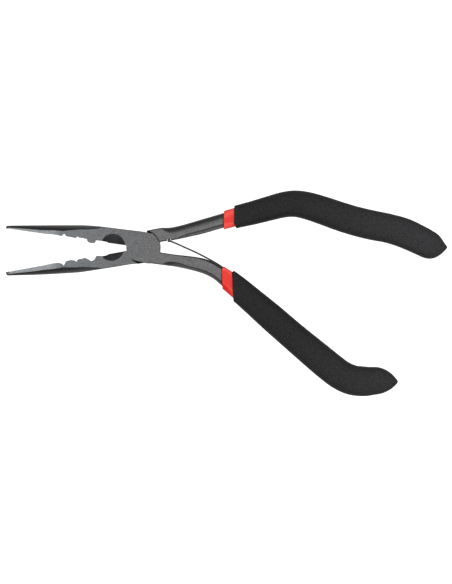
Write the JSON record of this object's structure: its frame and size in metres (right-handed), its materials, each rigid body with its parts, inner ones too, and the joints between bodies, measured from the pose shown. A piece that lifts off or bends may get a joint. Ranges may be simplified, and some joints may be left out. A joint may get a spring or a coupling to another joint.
{
  "type": "fishing pliers",
  "caption": "Long-nose fishing pliers with serrated tips, crimping notches, a side cutter, a leaf return spring and double-dipped curved handles.",
  "frame": {"origin": "centre of the pivot rivet's flat back face; the pliers lie flat, as held open by the spring", "axes": "+X from the pivot towards the handles, jaws at -X; +Y towards the upper handle; +Z along the pivot, out of the front face"},
  "size_m": [0.218, 0.1013, 0.0116],
  "materials": {
    "forged_steel": "matte ground faces, darker forged edges",
    "spring_steel": "satin strip",
    "red_vinyl": "satin dip",
    "black_vinyl": "fine sandpaper-like dip"
  },
  "bodies": {
    "front": {"front_lever": "forged_steel", "pivot_rivet": "forged_steel", "return_spring": "spring_steel", "spring_rivet": "spring_steel", "lower_inner_sleeve": "red_vinyl", "lower_outer_grip": "black_vinyl"},
    "rear": {"rear_lever": "forged_steel", "upper_inner_sleeve": "red_vinyl", "upper_outer_grip": "black_vinyl"}
  },
  "joints": [
    {"name": "jaw_pivot", "type": "hinge", "parent": "front", "child": "rear", "pos_m": [0, 0, 0.005], "axis": [0, 0, -1], "range_deg": [-12, 17.8], "stiffness_Nm_per_rad": 0.63, "deforming": ["return_spring"]}
  ]
}
